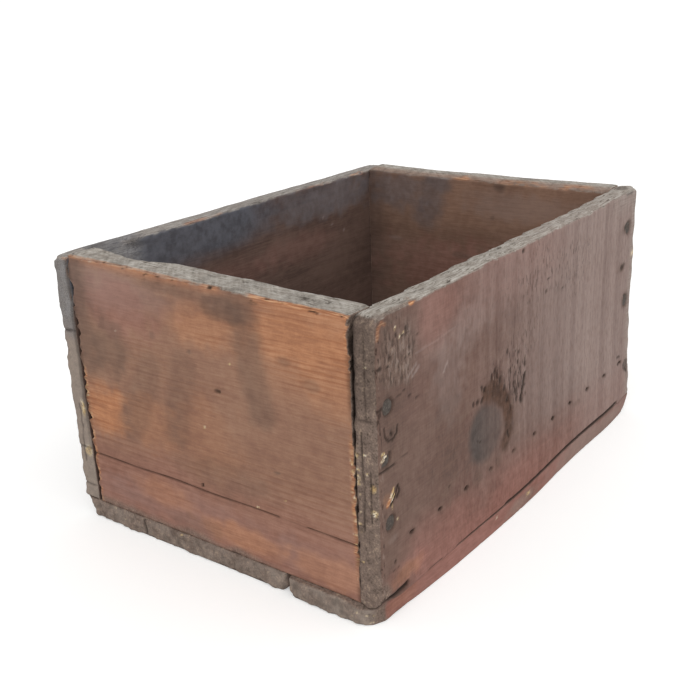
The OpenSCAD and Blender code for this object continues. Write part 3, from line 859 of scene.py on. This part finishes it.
def rear_side_board():
    """The side behind, with the break in its inner top edge and its dark inner face."""
    board = side_board("rear_side_board", 1, [], [], grey=0.68, foot_corner=1.5)
    height = board.height
    along = board.x - LEFT
    inner_face = REAR - THICKNESS
    toe, lip = np.array([inner_face, TOP - BREAK_HEIGHT]), np.array([REAR - BREAK_LIP, TOP])
    slope = (lip - toe) / np.linalg.norm(lip - toe)
    outward = np.array([-slope[1], slope[0]])
    over = (board.points[:, 1:] - toe) @ outward + 0.5 * board.layered(7, 51)
    ragged = along + 2 * board.layered([50, 4, 4], 52)
    start, end = END_THICKNESS, END_THICKNESS + BREAK_LENGTH
    broken = smooth(start - 1, start + 1, ragged) * smooth(end + 2, end - 10, ragged)
    board.points[:, 1:] -= (np.clip(over, 0, None) * broken)[:, None] * outward
    board.find_normals()
    bare_break = broken * smooth(-0.5, 0.5, over)
    board.fade("weather", np.sqrt(bare_break))
    board.mark("slate", np.sqrt(bare_break))
    board.mark("slate", board.facing(Z, 1) * 0.7)
    board.mark("weather", bare_break * 0.42)

    board.press(board.facing(Z, 1) * 0.25 * board.layered([8, 1.1, 50], 53))
    inner = Face(board, Y, -1)
    edge_of_slate = smooth(165, 115, along + 0.6 * (TOP - height) + 14 * board.layered(24, 54))
    depth_of_slate = smooth(TOP - 26, TOP - 14, height + 5 * board.layered([30, 30, 9], 55))
    inner.mark("slate", edge_of_slate * depth_of_slate * 0.85)
    inner.mark_patches(
        slate=[(0.45, 190, 124, 60, 12)],
        smoke=[(0.4, 225, 90, 26, 60), (0.35, 180, 70, 50, 22)],
        pale=[(0.4, 205, 122, 50, 10)],
        red=[(0.2, 165, 99, 36, 9), (0.2, 100, 95, 44, 10)],
    )
    inner.specks("pale", 0.8, (110, 118.5), (65, 129.5), (208, 100), (188, 112), (196, 106))
    inner_arris = smooth(0.3, 0.7, board.arris) * smooth(inner_face + 5, inner_face + 2, board.y)
    chips = smooth(0.0, 0.35, board.layered(16, 56)) * smooth(TOP - 6, TOP - 2, height) * (1 - broken)
    board.mark("red", inner_arris * chips * 0.8)
    board.mark("raw", inner_arris * chips * 0.4)

    for nails in ("rear_left_corner_nails", "rear_right_corner_nails"):
        seat_nails(board, nails, Y, 1)
    outer = Face(board, Y, 1)
    outer.mark("saw", 1.0)
    outer.mark("torn", 0.15)
    low = smooth(TACK_HEIGHT + 14, TACK_HEIGHT - 16, height + 12 * board.layered([46, 46, 20], 57))
    outer.mark("red", low * 0.6)
    outer.mark("pale", smooth(0.0, 0.5, board.layered([90, 90, 60], 58)) * 0.5)
    outer.mark_patches(
        smoke=[(0.6, 60, 84, 34, 30), (0.4, 206, 40, 26, 18)],
        torn=[(0.45, 150, 108, 50, 16), (0.35, 100, 60, 24, 14)],
        bare=[(0.6, 128, 30, 10, 4)],
    )

    left_end = Face(board, X, -1)
    side = left_end.along - (REAR - FRONT - THICKNESS)
    left_end.mark_lines(
        dirt=[(0.8, 0.5, 0.8, (168, 97.5), (179, 97)), (0.6, 0.5, 0.5, (168, 38), (179, 37)),
            (0.5, 0.5, 0.5, (169, 17), (178, 17.5)), (0.6, 0.4, 0.4, (173, 60), (174, 30))],
    )
    notch = smooth(5, 1.5, np.abs(height - 88)) * smooth(3, 9, side)
    board.shift(Y, -left_end.on * notch * 2.2)
    board.shift(Y, left_end.on * smooth(4, 10, side) * (0.4 + 1.0 * board.layered([50, 50, 8], 59)))
    left_end.press(0.5 * board.layered([3, 3, 4], 62))
    upper_end = left_end.on * smooth(84, 108, height + 5 * board.layered(9, 60))
    board.mark("slate", upper_end * 0.9)
    board.mark("weather", upper_end * 0.4)
    board.fade("end_grain", 0.9 * upper_end)
    left_end.mark("pale", 0.88)
    left_end.mark_patches(
        ochre=[(0.9, 170.5, 59, 1.6, 4.5), (0.7, 171, 36, 2.5, 3)],
    )
    # Darkens the inner face by the left end board and the end's edge along the seam: painted shade
    inner.mark("dirt", smooth(LEFT + 9, LEFT + 4, board.x) * 0.2)
    left_end.mark("dirt", smooth(2.4, 0.8, side) * smooth(30, 60, height) * 0.55)
    material = wood("side_wood_rear", X, SIDE_TONES, rings=0.3, pith=(40, 200), slant=27, kerf=0.12)
    board.build("side_wood", material)


# The end boards


def end_board(node, outward):
    """A worn end board, with what both ends share; outward is the sign of its outer face."""
    edges = [(FRONT, FRONT + 17, 0.6), (REAR - 17, REAR, 0.6)]
    rows = [(FOOT, FOOT + 5, 0.65), (CRACK_HEIGHT - 2, CRACK_HEIGHT + 2, 0.4), (TOP - 5, TOP + 3, 0.55)]
    outer_low, outer_high = (0.3, 0.0) if outward < 0 else (0.0, 0.3)
    stretches = [[], edges, rows]
    board = Board(node, Y, [0.9, 1.2, 0.75], stretches, (outer_low, 0.0, 0.0), (outer_high, 0.0, 0.7))
    edge_gap = board.end_gap(Y)
    inner_gap = np.abs(board.x - (board.high[X] if outward < 0 else board.low[X]))
    below_top = smooth(TOP - 4, TOP - 10, board.height)
    seam = smooth(6, 2, edge_gap) * below_top * (0.65 + 0.3 * smooth(6, 2, inner_gap))
    foot = smooth(FOOT + 5, FOOT + 2, board.height)
    worn = 1.2 + 0.4 * board.noise(10, 71) + 0.5 * smooth(TOP - 8, TOP, board.height)
    board.round_edges(worn * (1 - seam) * (1 - 0.6 * foot))
    board.find_normals()
    fray_ends(board, 0.3, 75)
    weather_top(board, 1.0, 77)
    return board


def wear_top(board, depth):
    """Leaves dark bars across the top edge, sunk in and darkened with painted shade, and fissures and dents
    along it, once the edge has its run.
    """
    board.find_normals()
    chip_arrises(board, 0.6, 73)
    top = board.facing(Z, 1)
    bars = smooth(0.2, 0.04, np.abs(board.noise([400, 8, 400], 78)))
    dents = board.noise([400, 14, 400], 79)
    rough = board.layered([1.4, 9, 50], 80)
    board.press(top * depth * (0.3 * bars + 0.3 * dents + 0.3 * rough))
    # Darkens the sunk bars: painted shade
    board.mark("dirt", top * bars * 0.25)
    board.mark("dirt", top * smooth(0.35, 0.6, rough) * 0.35)


def left_end_board():
    """The end in view, with its drying crack, dipped top edge, smoky streaks and ragged seams."""
    board = end_board("left_end_board", -1)
    height = board.height
    from_front = board.y - board.low[Y]
    from_rear = board.high[Y] - board.y
    rise = board.high[Z] - TOP
    slope = along_edge(from_front, (0, -END_DIP - rise), (from_front.max(), 0.0))
    board.shift(Z, smooth(TOP - 24, TOP, height) * (slope + 0.5 * board.layered([60, 20, 400], 82)))
    front_seam = along_edge(
        height, (50, END_GAP), (62, 0.6), (84, 0.2), (100, -0.4), (120, -0.5), (132, -0.3), soft=4
    )
    board.shift(Y, -front_seam * smooth(8, 1, from_front))
    rear_seam = along_edge(
        height, (10, -0.3), (60, -0.5), (96, -0.4), (116, -0.2), (127, 0.1), (132, 0.5), soft=2
    )
    outer_gap = board.x - LEFT
    board.shift(Y, rear_seam * smooth(8, 1, from_rear) * smooth(4.5, 2, outer_gap))
    scoop = along_edge(
        from_front, (50, 0.0), (90, 1.4), (104, 1.0), (109, -1.0), (117, -4.0), (128, -4.2), (138, -2.4),
        (146, -0.6), (156, 0.4), soft=2,
    )
    inner_gap = board.high[X] - board.x
    board.shift(X, scoop * smooth(8, 1, inner_gap) * smooth(TOP - 14, TOP - 4, height))
    jag = board.noise([3, 50, 1.7], 83) + 0.5 * board.noise([6, 50, 5], 84)
    edges = smooth(4, 0, from_front) - 1.5 * smooth(4, 0, from_rear)
    board.shift(Y, jag * smooth(6, 0, outer_gap) * edges)
    wear_top(board, 0.55)
    pit_top(board, 0.9, 2.0, (11, 71), (13, 126.5), (8.5, 27))
    board.mark("dirt", board.facing(Z, 1) * smooth(90, 40, from_front) * (0.04 + 0.2 * board.layered(7, 81)))
    face = Face(board, X, -1)
    along = face.along

    low = smooth(CRACK_HEIGHT + 26, CRACK_HEIGHT - 12, height + 10 * board.layered([30, 30, 14], 85))
    face.mark("red", low * 0.55)
    face.wash("lit", 0.6, along=(80, 34), height=(80, 118))
    face.wash("smoke", 0.6, along=(148, 165), height=(70, 86))
    face.wash("pale", 0.35, along=(100, 160), height=(100, 126))
    face.mark_patches(
        lit=[(0.45, 86, 114, 22, 11), (0.5, 36, 119, 28, 12), (0.9, 154, 62, 13, 14),
            (0.3, 126, 62, 18, 14), (0.3, 21, 106, 14, 18), (0.35, 121, 27, 18, 7), (0.5, 73, 19, 26, 7),
            (0.2, 90, 62, 20, 20), (0.4, 26, 19, 20, 8)],
        pale=[(0.5, 32, 20, 30, 9), (0.35, 100, 22, 60, 10), (0.35, 132, 121, 32, 10),
            (0.25, 150, 20, 22, 8)],
        red=[(0.5, 138, 114, 30, 16)],
        smoke=[(0.65, 73, 125, 14, 6), (0.4, 104, 129, 22, 3), (0.6, 148, 93, 15, 15),
            (0.4, 162, 104, 6, 26), (0.3, 100, 17, 20, 5), (0.3, 80, 46, 30, 8), (0.35, 43, 107, 3.6, 2.4),
            (0.35, 30, 100, 4, 2.6), (0.7, 95, 101.5, 1.4, 1.2), (0.4, 117, 105, 2, 2),
            (0.8, 50.5, 57, 1.8, 0.8)],
    )
    face.mark_lines(
        smoke=[(0.5, 8.0, 0, (64, 130), (62, 112), (60, 95), (57, 82)),
            (0.3, 8.0, 0, (100, 94), (104, 78), (108, 60)),
            (0.3, 9.0, 0, (122, 88), (130, 70), (138, 58))],
    )
    face.chips(0.4, (80.5, 86.8, 1.7, 0.9))
    face.holes(0.75, 1.0, (94.8, 38.6))
    face.specks("ochre", 0.45, (72.5, 100.6), (90, 68), (141, 103), (22.6, 67.7), (46.8, 45.3), (62.5, 37.5))
    path = CRACK_HEIGHT - 0.6 * smooth(60, 10, along) + 0.5 * board.noise([20, 24, 500], 86)
    crack = np.abs(height - path)
    sound = 0.1 + 0.9 * smooth(6, 9, np.abs(along - 44))
    thin = 0.7 + 0.3 * board.noise([20, 12, 500], 87)
    face.press(smooth(0.8, 0.1, crack) * sound * thin * 1.4)
    # Darkens the crack: painted shade
    face.mark("dirt", smooth(0.55, 0.15, crack) * sound * thin)

    arris = smooth(0.15, 0.45, board.normals[:, Z]) * smooth(0.15, 0.4, -board.normals[:, X])
    band = smooth(-0.7, -0.2, board.layered([30, 8, 30], 87)) * smooth(5, 9, np.abs(along - 68))
    scorched = arris * band * (0.4 + 0.4 * smooth(100, 60, along))
    board.mark("raw", scorched)
    board.fade("weather", 0.8 * scorched)
    below_rim = board.points[:, Z].max() - board.points[:, Z] + slope
    face.mark("lit", smooth(5, 1, below_rim) * band * 0.4)
    nicks = smooth(0.3, 0.55, board.layered([4, 3, 1.2], 88)) * smooth(5, 1.5, below_rim)
    board.mark("dirt", (face.on + arris) * nicks * 0.75)
    for gap, upper in ((from_front, 130), (from_rear, 86)):
        rim = smooth(3, 0.5, gap) * smooth(upper + 2, upper - 2, height)
        face.mark("raw", rim * smooth(0.0, 0.6, jag) * 0.6)
        # Darkens the ragged edges along both seams in places: painted shade in the gaps
        face.mark("dirt", smooth(2.5, 0.5, gap) * smooth(0.1, -0.4, jag) * 0.5)
        bright = smooth(3.0, 0.8, gap) * smooth(84, 76, height) * smooth(16, 30, height)
        face.mark("raw", bright * 0.5)
        face.mark("ochre", bright * smooth(0.3, 0.6, board.noise([1.4, 1.2, 1.1], 89)) * 0.8)
    # Darkens the edges that meet the side boards, below the top: painted shade between the boards
    for sign, level in ((-1, 0.8), (1, 0.2)):
        seam = smooth(0.75, 0.95, board.normals[:, Y] * sign) * smooth(TOP - 3, TOP - 7, height)
        board.mark("dirt", seam * level)
    # Greys the face along its foot, towards the rear
    foot_band = smooth(FOOT + 5, FOOT, height + 3.5 * board.layered(14, 90))
    face.mark("end_grain", foot_band * smooth(40, 70, along) * 0.8)
    material = wood("end_wood_left", Y, LEFT_END_TONES, rings=1.0, pith=(-60, -30), slant=42, kerf=0.3)
    board.build("end_wood", material)


def right_end_board():
    """The far end, of which the top edge and the inner face show."""
    board = end_board("right_end_board", 1)
    height = board.height
    from_front = board.y - board.low[Y]
    from_rear = board.high[Y] - board.y
    rise = along_edge(from_front, (0, 1.2), (30, 0.7), (120, 0.4), (156, 1.0))
    board.shift(Z, smooth(TOP - 24, TOP, height) * (rise + 0.4 * board.layered([60, 20, 400], 91)))
    board.shift(Y, END_GAP * (smooth(8, 1, from_rear) - smooth(8, 1, from_front)))
    inner_gap = board.x - board.low[X]
    bevel = 0.5 + 0.5 * board.layered([40, 16, 40], 92)
    board.shift(Z, -smooth(8, 0, inner_gap) * smooth(TOP - 6, TOP, height) * 2.0 * bevel)
    wear_top(board, 0.35)
    inner = Face(board, X, -1)
    along = inner.along
    # Darkens the inner face, most towards the rear corner and the bottom: painted shade of the box's inside
    # over partly darker wood
    inner.mark("bare", 0.32 + 0.25 * board.layered(40, 93))
    inner.wash("smoke", 0.3, along=(96, 150))
    inner.wash("bare", 0.8, along=(148, 167))
    inner.wash("bare", 0.5, height=(112, 84))
    inner.mark_patches(
        smoke=[(0.6, 118, 129, 14, 6), (0.6, 101, 85.7, 6, 2.2), (0.7, 75.4, 130, 4, 4),
            (0.6, 80, 111, 1.5, 1.5)],
        slate=[(0.35, 146, 122, 22, 12)],
        red=[(0.45, 100, 74, 60, 22)],
        pale=[(0.4, 148, 91, 5, 1.6), (0.3, 150, 116, 1.6, 1.6), (0.3, 62, 118, 40, 9),
            (0.2, 148, 118, 18, 12)],
    )
    inner.mark_lines(
        slate=[(0.35, 10, 0, (117, 132), (121, 120), (126, 109))],
        smoke=[(0.3, 8, 0, (119, 130), (123, 112))],
    )
    top_inside = smooth(9, 2, inner_gap) * smooth(0.2, 0.6, board.normals[:, Z])
    top_inside *= smooth(TOP - 8, TOP - 4, height)
    board.mark("bare", top_inside * 0.5)
    board.fade("weather", 0.7 * top_inside)
    stretches = ((62, 22, 6), (30, 14, 4), (98, 12, 4))
    band = sum(smooth(outside, inside, np.abs(along - middle)) for middle, outside, inside in stretches)
    chips = smooth(-0.2, 0.35, board.layered([5, 6, 5], 94))
    board.mark("raw", top_inside * np.clip(band, 0, 1) * chips * 0.6)
    outer = Face(board, X, 1)
    outer.wash("red", 0.5, height=(60, 20))
    outer.mark("torn", 0.04)
    outer.mark_patches(
        smoke=[(0.6, 60, 96, 30, 26), (0.4, 140, 60, 20, 40)],
        lit=[(0.4, 110, 90, 34, 26)],
    )
    material = wood("end_wood_right", Y, RIGHT_END_TONES, rings=0.45, pith=(60, 190), slant=42, kerf=0.3)
    board.build("end_wood", material)


# The bottom


def bottom_board(node, seed, front_left, rear_right, rear_left):
    """A worn bottom board, with what both share; the last three are the radii of its corners in plan."""
    swell, front_right = 1.0, 2.0
    ends = [(LEFT - 4, LEFT + 9, 0.7), (RIGHT - 9, RIGHT + 4, 0.9)]
    stretches = [ends, [(FRONT, FRONT + 4, 0.7)], []]
    board = Board(node, X, [1.8, 1.15, 0.7], stretches, (swell, 0.0, 0.0), (swell, 0.0, 0.0))
    covered = smooth(FOOT - 4, FOOT - 2, board.height)
    ends_only = smooth(8, 4, board.end_gap(X))
    worn = 0.7 + 0.9 * ends_only + 0.3 * board.noise(12, seed)
    board.round_edges(worn * (1 - 0.5 * covered))
    for sign in (-1, 1):
        board.round_corner((X, Y), (sign, -1), front_left if sign < 0 else front_right)
        board.round_corner((X, Y), (sign, 1), rear_left if sign < 0 else rear_right)
    board.find_normals()
    chip_arrises(board, 0.9, seed + 1)
    lumps = board.layered([5, 4, 4], seed + 4)
    end = Face(board, X, -1)
    end.press(1.2 * lumps)
    end.mark("dirt", smooth(0.1, 0.6, board.noise([4, 2.2, 3.2], seed + 5)) * 0.3)
    fray_ends(board, 0.9, seed + 2)
    near_end = smooth(5, 3, board.x - board.low[X])
    board.mark("end_grain", near_end * board.facing(Z, 1))
    end.mark("pale", 0.34 + 0.3 * smooth(FRONT + 80, FRONT + 30, board.y) + 0.6 * lumps)
    for side in ("front", "rear", "left", "right"):
        seat_nails(board, side + "_bottom_nails", Z, -1)
    return board


def wide_bottom_board():
    """The rear one, with a worn rear left corner."""
    board = bottom_board("wide_bottom_board", 111, front_left=4.0, rear_right=5.0, rear_left=4.0)
    board.round_corner((Y, Z), (-1, -1), 5.0)
    corner = smooth(LEFT + 26, LEFT, board.x) * smooth(REAR - 16, REAR, board.y)
    board.shift(Y, -3.4 * corner * smooth(FOOT, 0, board.height))
    board.shift(X, 0.8 * corner * smooth(FOOT, 0, board.height))
    split = smooth(LEFT + 14, LEFT, board.x) * smooth(board.low[Y] + 8, board.low[Y], board.y)
    board.shift(Y, 0.8 * split)
    end = Face(board, X, -1)
    # Cracks in the end grain, pressed in and darkened with painted shade
    end.mark_lines(
        dirt=[(0.8, 0.6, 0.8, (136, 0), (136, 9)), (0.5, 0.5, 0.5, (80, 0), (80.5, 9))],
    )
    end.specks("ochre", 0.5, (150, 5), (111, 9), (156, 9))
    material = wood("bottom_wood_wide", X, BOTTOM_TONES, rings=0.5, pith=(80, 70), slant=0, kerf=0.3)
    board.build("bottom_wood", material)


def narrow_bottom_board():
    """The front one, whose front edge follows the bow of the side board over it."""
    board = bottom_board("narrow_bottom_board", 121, front_left=10.0, rear_right=2.0, rear_left=2.0)
    board.round_corner((Y, Z), (1, -1), 4.0)
    board.round_corner((X, Z), (1, -1), 9.0)
    along = board.x - LEFT
    flare = smooth(RIGHT - 30, RIGHT, board.x) * smooth(FRONT + 20, FRONT, board.y)
    board.shift(X, (0.4 + 4.7 * board.height / FOOT) * flare)
    ledge = smooth(LEFT + 2, LEFT - 2.5, board.x) * smooth(FRONT + 16, FRONT + 10, board.y)
    ledge *= smooth(FOOT - 5, FOOT, board.height)
    board.shift(Z, -2.0 * ledge)
    recess = along_edge(along, (0, 2.6), (17, 2.0), (32, 1.0), (54, 0.0), soft=5)
    board.shift(Y, (front_bow(along) + recess) * smooth(FRONT + 26, FRONT, board.y))
    edge = Face(board, Y, -1)
    edge.mark("red", smooth(0, 6, along) * (0.45 + 0.45 * smooth(200, 120, along)))
    edge.mark("end_grain", smooth(8, 4, along + 2 * board.noise(3, 125)) * 0.9)
    edge.mark_patches(
        ochre=[(1.0, 123.6, 5.4, 1.6, 1.1), (0.6, 91.5, 7.0, 1.0, 0.7)],
        end_grain=[(0.5, 118, 4, 18, 4), (0.3, 200, 4, 44, 6)],
        pale=[(0.7, 190, 4, 60, 8), (0.6, 244, 5, 14, 8), (0.6, 90, 4, 40, 6), (0.35, 36, 4, 30, 6)],
        lit=[(0.15, 16, 5, 12, 4)],
    )
    near = Face(board, X, -1)
    near.mark("ochre", smooth(24, 12, near.along) * smooth(0.55, 0.85, board.noise(1.6, 126)))
    material = wood("bottom_wood_narrow", X, BOTTOM_TONES, rings=0.5, pith=(-60, 60), slant=0, kerf=0.3)
    board.build("bottom_wood", material)


front_side_board()
rear_side_board()
left_end_board()
right_end_board()
wide_bottom_board()
narrow_bottom_board()

iron = rusty_iron()
for node_name, cad_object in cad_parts.items():
    if node_name.endswith("_nails"):
        cad_object.data.materials.clear()
        cad_object.data.materials.append(iron)


# Floor, light and camera


def floor():
    """A white floor that shows the box's shadow."""
    half = 30.0
    corners = [(-half, -half, 0), (half, -half, 0), (half, half, 0), (-half, half, 0)]
    mesh = bpy.data.meshes.new("floor")
    mesh.from_pydata(corners, [], [(0, 1, 2, 3)])
    made = Nodes(bpy.data.materials.new("floor_white"))
    matte = made.node("ShaderNodeBsdfDiffuse", {"Color": FLOOR_WHITE})
    glow = made.node("ShaderNodeEmission", {"Color": WHITE, "Strength": made.seen_directly(0.0, FLOOR_GLOW)})
    both = made.node("ShaderNodeAddShader", {0: matte.outputs[0], 1: glow.outputs[0]})
    made.node("ShaderNodeOutputMaterial", {"Surface": both.outputs[0]})
    mesh.materials.append(made.owner)
    plane = bpy.data.objects.new("floor", mesh)
    bpy.context.scene.collection.objects.link(plane)


def sky():
    """Even white light from all round, and a pure white background."""
    made = Nodes(bpy.data.worlds.new("studio"))
    inputs = {"Color": WHITE, "Strength": made.seen_directly(SKY_LIGHT, 1.0)}
    back = made.node("ShaderNodeBackground", inputs)
    made.node("ShaderNodeOutputWorld", {"Surface": back.outputs[0]})
    bpy.context.scene.world = made.owner


def soft_sun(name, heading, height, spread, strength):
    """A broad even lamp, placed in degrees; heading 0 is the front and 90 the left end."""
    data = bpy.data.lights.new(name, "SUN")
    data.angle = math.radians(spread)
    data.energy = strength
    lamp = bpy.data.objects.new(name, data)
    turn, tilt = math.radians(heading), math.radians(height)
    source = Vector((-math.sin(turn) * math.cos(tilt), -math.cos(turn) * math.cos(tilt), math.sin(tilt)))
    lamp.rotation_mode = "QUATERNION"
    lamp.rotation_quaternion = (-source).to_track_quat("-Z", "Y")
    bpy.context.scene.collection.objects.link(lamp)


def camera():
    """The camera, where the photograph's perspective puts it."""
    place = (-0.3984, -0.2812, 0.2459)
    heading, dip, roll = (math.radians(angle) for angle in (53.25, 20.57, -2.22))
    data = bpy.data.cameras.new("camera")
    data.sensor_width = 36.0
    data.lens = 51.05
    made = bpy.data.objects.new("camera", data)
    turn = Matrix.Rotation(-heading, 4, "Z") @ Matrix.Rotation(math.pi / 2 - dip, 4, "X")
    made.matrix_world = Matrix.Translation(place) @ turn @ Matrix.Rotation(roll, 4, "Z")
    bpy.context.scene.collection.objects.link(made)
    bpy.context.scene.camera = made


floor()
sky()
soft_sun("key", heading=60, height=45, spread=60, strength=1.0)
soft_sun("fill", heading=-20, height=35, spread=60, strength=0.5)
camera()
bpy.context.scene.view_settings.view_transform = "Standard"
